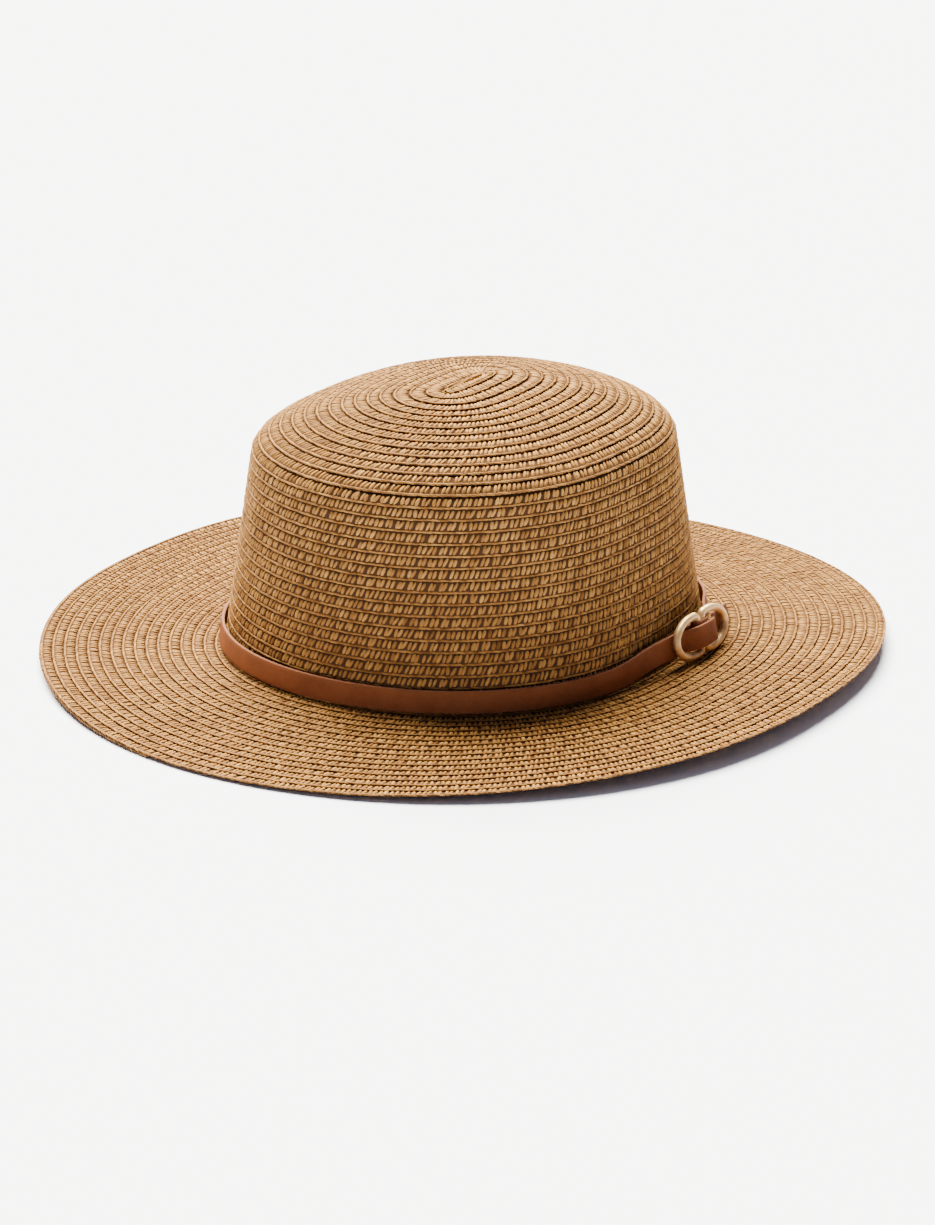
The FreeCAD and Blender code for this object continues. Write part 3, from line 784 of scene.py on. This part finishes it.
def ribbon_material():
    """Grosgrain: ribs across the ribbon; "tint" is the distance along it."""
    material, nodes, links, shader = node_tree("grosgrain_ribbon")
    coords = nodes.new("ShaderNodeTexCoord").outputs["Object"]
    along = nodes.new("ShaderNodeAttribute")
    along.attribute_name = "tint"
    turn = math_node(nodes, links, "MULTIPLY", along.outputs["Fac"], 2 * math.pi / RIB_PITCH)
    rib = math_node(nodes, links, "MULTIPLY_ADD", math_node(nodes, links, "SINE", turn), 0.5, 0.5)
    yarn = noise(nodes, links, coords, 2400.0, 3.0)
    height = math_node(nodes, links, "MULTIPLY_ADD", yarn, 0.3, rib)
    # colour follows the weave's height: darker in the troughs between the ribs, which is painted
    # shade, and varied by the yarn
    colours = ramp(nodes, ((0.1, (0.30, 0.20, 0.12)), (0.7, (0.52, 0.38, 0.25)),
                           (1.0, (0.60, 0.45, 0.31))))
    links.new(math_node(nodes, links, "MULTIPLY", height, 0.85), colours.inputs["Fac"])
    links.new(colours.outputs["Color"], shader.inputs["Base Color"])
    shader.inputs["Roughness"].default_value = 0.75
    shader.inputs["Sheen Weight"].default_value = 0.25
    bump(nodes, links, height, 0.8, 0.0003, shader)
    return material


def leather_material(name, face, edge):
    """Smooth finished leather with a fine grain; "tint" is 1 along its long edges, which get the
    lighter edge colour: burnish and a painted highlight.
    """
    material, nodes, links, shader = node_tree(name)
    coords = nodes.new("ShaderNodeTexCoord").outputs["Object"]
    at_edge = nodes.new("ShaderNodeAttribute")
    at_edge.attribute_name = "tint"
    pores = nodes.new("ShaderNodeTexVoronoi")
    pores.feature = "DISTANCE_TO_EDGE"
    pores.inputs["Scale"].default_value = 1500.0
    links.new(coords, pores.inputs["Vector"])
    clouds = noise(nodes, links, coords, 90.0, 4.0)
    fine = noise(nodes, links, coords, 1400.0, 4.0)
    grain = math_node(nodes, links, "MINIMUM", pores.outputs["Distance"], 0.25)
    height = math_node(nodes, links, "MULTIPLY_ADD", grain, 2.0, fine)
    colours = ramp(nodes, ((0.25, tuple(value * 0.72 for value in face)), (0.5, face),
                           (0.8, tuple(value * 1.25 for value in face))))
    shade = math_node(nodes, links, "MULTIPLY_ADD", fine, 0.35,
                      math_node(nodes, links, "MULTIPLY", clouds, 0.65))
    links.new(shade, colours.inputs["Fac"])
    # lighter edge colour: burnish and a painted highlight along the long edges
    colour = mix_colour(nodes, links, "MIX", at_edge.outputs["Fac"], colours.outputs["Color"], edge)
    links.new(colour, shader.inputs["Base Color"])
    rough = math_node(nodes, links, "MULTIPLY_ADD", fine, 0.25, 0.42)
    links.new(rough, shader.inputs["Roughness"])
    shader.inputs["Specular IOR Level"].default_value = 0.03
    bump(nodes, links, height, 0.35, 0.00016, shader)
    return material


def metal_material():
    """Satin pale gold plate with a fine brushed grain and slightly darker, worn patches."""
    material, nodes, links, shader = node_tree("satin_pale_gold")
    coords = nodes.new("ShaderNodeTexCoord").outputs["Object"]
    clouds = noise(nodes, links, coords, 260.0, 4.0)
    brushed = noise(nodes, links, coords, 1500.0, 3.0, (1.0, 1.0, 5.0))
    colours = ramp(nodes, ((0.3, (0.47, 0.29, 0.12)), (0.6, (0.63, 0.42, 0.20))))
    links.new(clouds, colours.inputs["Fac"])
    links.new(colours.outputs["Color"], shader.inputs["Base Color"])
    shader.inputs["Metallic"].default_value = 0.7
    rough = math_node(nodes, links, "MULTIPLY_ADD", brushed, 0.22, 0.36)
    links.new(rough, shader.inputs["Roughness"])
    bump(nodes, links, brushed, 0.25, 0.0001, shader)
    return material


RIBBON = ribbon_material()
RIBBON_THREAD = thread_material("ribbon_thread_cotton", (0.62, 0.50, 0.36))
# the second colour is the long edges': burnish and a painted highlight
LEATHER = leather_material("cognac_leather", (0.150, 0.049, 0.018), (0.17, 0.068, 0.038))
LEATHER_THREAD = thread_material("leather_thread_waxed", (0.16, 0.075, 0.035))
METAL = metal_material()

# sweatband with its stitches
sweat_rows = sweatband_line()
sweatband = Ribbon(smooth_line(sweat_rows, 5))
outline = rounded_section(SWEATBAND_THICKNESS / 2, SWEATBAND_HEIGHT / 2, 0.3)
mesh = Mesh()
add_ribbon(mesh, sweatband, outline, np.repeat(sweatband.length[:, None], len(outline), 1))
ribbon_piece = mesh.object("sweatband_ribbon", RIBBON, "hat", ["sweatband"])

coarse = Ribbon(sweat_rows)
mesh = Mesh()
on_face = -SWEATBAND_THICKNESS / 2 - STITCH_OFFSET
hem_line = coarse.at(on_face, HEM_HEIGHT - SWEATBAND_HEIGHT / 2)
add_stitches(mesh, hem_line[HEM_STATIONS], coarse.along[HEM_STATIONS],
             -coarse.face[HEM_STATIONS], HEM_STITCH, HEM_WIDTH)
hem_stitching = mesh.object("sweatband_hem_stitching", RIBBON_THREAD, "hat",
                            ["sweatband_hem_stitches"])
mesh = Mesh()
ups = (np.arange(END_STITCHES) - (END_STITCHES - 1) / 2) * END_STITCH_PITCH
station = -2
middle = coarse.middle[station] + coarse.face[station] * on_face \
    + ups[:, None] * coarse.rise[station]
add_stitches(mesh, middle, np.tile(coarse.rise[station], (END_STITCHES, 1)),
             np.tile(-coarse.face[station], (END_STITCHES, 1)), HEM_STITCH, HEM_WIDTH)
end_stitching = mesh.object("sweatband_end_stitching", RIBBON_THREAD, "hat",
                            ["sweatband_end_stitches"])

# leather band
strap_rows = strap_line()
strap = Ribbon(smooth_line(strap_rows, 6))
outline = rounded_section(STRAP_THICKNESS / 2, STRAP_HEIGHT / 2, 0.45)
edge_tint = burnish_and_highlight_tint(outline, STRAP_HEIGHT / 2 - 0.5, STRAP_HEIGHT / 2 - 0.2)
mesh = Mesh()
add_ribbon(mesh, strap, outline, np.repeat(edge_tint[None], len(strap.middle), 0), 0.35)
mesh.object("leather_strap", LEATHER, "hat_band", ["leather_band"])

# keeper loop, folded round the straight limbs of both rings
inner_depth = WIRE_RADIUS + KEEPER_GAP
half_along = LIMB + inner_depth + KEEPER_THICKNESS / 2
half_out = inner_depth + KEEPER_THICKNESS / 2
loop = []
for quarter, (a_sign, o_sign) in enumerate(((1, 1), (-1, 1), (-1, -1), (1, -1))):
    for step in range(7):
        angle = (quarter + step / 6) * math.pi / 2
        loop.append((a_sign * (half_along - KEEPER_BEND) + KEEPER_BEND * math.cos(angle),
                     o_sign * (half_out - KEEPER_BEND) + KEEPER_BEND * math.sin(angle),
                     math.cos(angle), math.sin(angle)))
loop = np.array(loop)
outline = rounded_section(KEEPER_THICKNESS / 2, KEEPER_HEIGHT / 2, 0.28)
lines = [buckle_point(loop[:, 0] + out * loop[:, 2], loop[:, 1] + out * loop[:, 3], up)
         for out, up in outline]
edge_tint = burnish_and_highlight_tint(outline, KEEPER_HEIGHT / 2 - 0.4, KEEPER_HEIGHT / 2 - 0.1)
mesh = Mesh()
mesh.add_tube(lines, np.tile(edge_tint, len(loop)).reshape(1, -1), True)
mesh.object("leather_keeper", LEATHER, "hat_band", ["keeper_loop"])

tacks = Ribbon(strap_rows)
mesh = Mesh()
for station in (1, 2):
    ups = (np.arange(TACK_COUNT) - (TACK_COUNT - 1) // 2) * TACK_PITCH
    middle = tacks.middle[station] + tacks.face[station] * (-STRAP_THICKNESS / 2 - STITCH_OFFSET) \
        + ups[:, None] * tacks.rise[station]
    add_stitches(mesh, middle, np.tile(tacks.rise[station], (TACK_COUNT, 1)),
                 np.tile(-tacks.face[station], (TACK_COUNT, 1)), TACK_STITCH, TACK_WIDTH)
mesh.object("keeper_tacks", LEATHER_THREAD, "hat_band", ["keeper_stitches"])


def ring_path():
    """Closed middle line of a ring's wire in its own plane: away from the keeper, up."""
    flat = RING_BEND - RING_CORNER
    corner = (RING_CORNER, RING_CORNER)
    pieces = [np.stack([np.zeros(9), np.linspace(flat, -flat, 9)], -1)]
    for middle, reach, start, end, steps in (
            ((RING_CORNER, -flat), corner, 180, 270, 8),
            ((RING_STRAIGHT, 0), (RING_DEPTH - RING_STRAIGHT, RING_BEND), -90, 90, 48),
            ((RING_CORNER, flat), corner, 90, 180, 8)):
        angle = np.radians(np.linspace(start, end, steps + 1))
        pieces.append(np.stack([middle[0] + reach[0] * np.cos(angle),
                                middle[1] + reach[1] * np.sin(angle)], -1))
    path = np.concatenate(pieces)
    apart = np.linalg.norm(path - np.roll(path, 1, 0), axis=1) > 1e-6
    return path[apart]


for name, side, body, node in (("ring_front_wire", -1, "front_ring", "ring_front"),
                               ("ring_rear_wire", 1, "rear_ring", "ring_rear")):
    path = ring_path()
    tangent = np.roll(path, -1, 0) - np.roll(path, 1, 0)
    tangent /= np.linalg.norm(tangent, axis=1)[:, None]
    lines = []
    for angle in np.arange(WIRE_SIDES) * math.pi / (WIRE_SIDES // 2):
        sideways, out = WIRE_RADIUS * math.cos(angle), WIRE_RADIUS * math.sin(angle)
        lines.append(buckle_point(side * (LIMB + path[:, 0] + sideways * tangent[:, 1]), out,
                                  path[:, 1] - sideways * tangent[:, 0]))
    mesh = Mesh()
    mesh.add_tube(lines, [0.5], True)
    mesh.object(name, METAL, body, [node])

# ------------------------------------------------------------------ camera, light and floor

IMAGE_HEIGHT = 1225
SENSOR = 36.0
AZIMUTH, ELEVATION = math.radians(32.47), math.radians(19.74)
DISTANCE = 1494.0
FOCAL_PIXELS = 3880.8
back = Vector((math.sin(AZIMUTH) * math.cos(ELEVATION), -math.cos(AZIMUTH) * math.cos(ELEVATION),
               math.sin(ELEVATION)))
right = Vector((math.cos(AZIMUTH), math.sin(AZIMUTH), 0))
up = back.cross(right)
target = Vector((0, 0, FOOT)) + right * 0.77 + up * 4.09

camera_data = bpy.data.cameras.new("camera")
camera_data.sensor_fit = "VERTICAL"
camera_data.sensor_height = SENSOR
camera_data.lens = FOCAL_PIXELS / IMAGE_HEIGHT * SENSOR
camera_data.clip_start = 0.05
camera = bpy.data.objects.new("camera", camera_data)
camera.matrix_world = Matrix.Translation((target + back * DISTANCE) * MM) @ \
    Matrix((right, up, back)).transposed().to_4x4()
bpy.context.scene.collection.objects.link(camera)
bpy.context.scene.camera = camera


def floor_material():
    material, _, _, shader = node_tree("pale_floor")
    shader.inputs["Base Color"].default_value = (0.72, 0.757, 0.90, 1)
    shader.inputs["Roughness"].default_value = 0.9
    shader.inputs["Specular IOR Level"].default_value = 0.1
    return material


FLOOR_REACH = 6.0                   # metres
floor_mesh = bpy.data.meshes.new("floor")
corners = [(x * FLOOR_REACH, y * FLOOR_REACH, 0) for x, y in ((-1, -1), (1, -1), (1, 1), (-1, 1))]
floor_mesh.from_pydata(corners, [], [(0, 1, 2, 3)])
floor_mesh.materials.append(floor_material())
floor = bpy.data.objects.new("floor", floor_mesh)
bpy.context.scene.collection.objects.link(floor)

world = bpy.data.worlds.new("studio")
world.use_nodes = True
world.node_tree.nodes["Background"].inputs["Color"].default_value = (0.97, 0.99, 1.22, 1)
world.node_tree.nodes["Background"].inputs["Strength"].default_value = 0.26
bpy.context.scene.world = world


def sun(name, towards, strength, spread, colour):
    light = bpy.data.lights.new(name, "SUN")
    light.energy = strength
    light.angle = math.radians(spread)
    light.color = colour
    holder = bpy.data.objects.new(name, light)
    holder.rotation_euler = towards.to_track_quat("Z", "Y").to_euler()
    bpy.context.scene.collection.objects.link(holder)


ground_back = Vector((back.x, back.y, 0)).normalized()
key = right * -0.17 - ground_back * 0.64 + Vector((0, 0, 0.82))
sun("key", key, 42.5, 48, (1.0, 0.935, 0.76))
